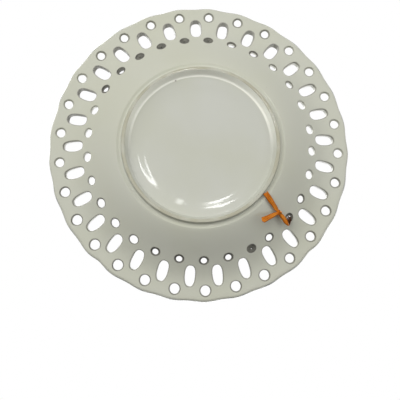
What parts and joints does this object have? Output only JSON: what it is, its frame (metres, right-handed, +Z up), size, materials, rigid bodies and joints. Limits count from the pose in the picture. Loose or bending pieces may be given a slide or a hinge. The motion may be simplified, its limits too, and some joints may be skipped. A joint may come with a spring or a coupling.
{
  "type": "pierced plate",
  "caption": "Round glazed ceramic plate on a foot ring, its wide rim pierced with rings of round and oval holes, and a short ribbon tied through one hole.",
  "frame": {"origin": "middle of the foot ring's resting plane", "axes": "+Z up along the plate's axis, from the foot to the well; +X through the middle of an outer hole of the rim"},
  "size_m": [0.2499, 0.2502, 0.0358],
  "materials": {
    "glaze": "glossy clear glaze over a warm grey-white body",
    "ribbon": "satin, streaked along its length"
  },
  "bodies": {
    "root": {"plate_body": "glaze", "tie_loop": "ribbon", "tie_knot": "ribbon", "tie_tail_long": "ribbon", "tie_tail_short": "ribbon"}
  },
  "joints": []
}
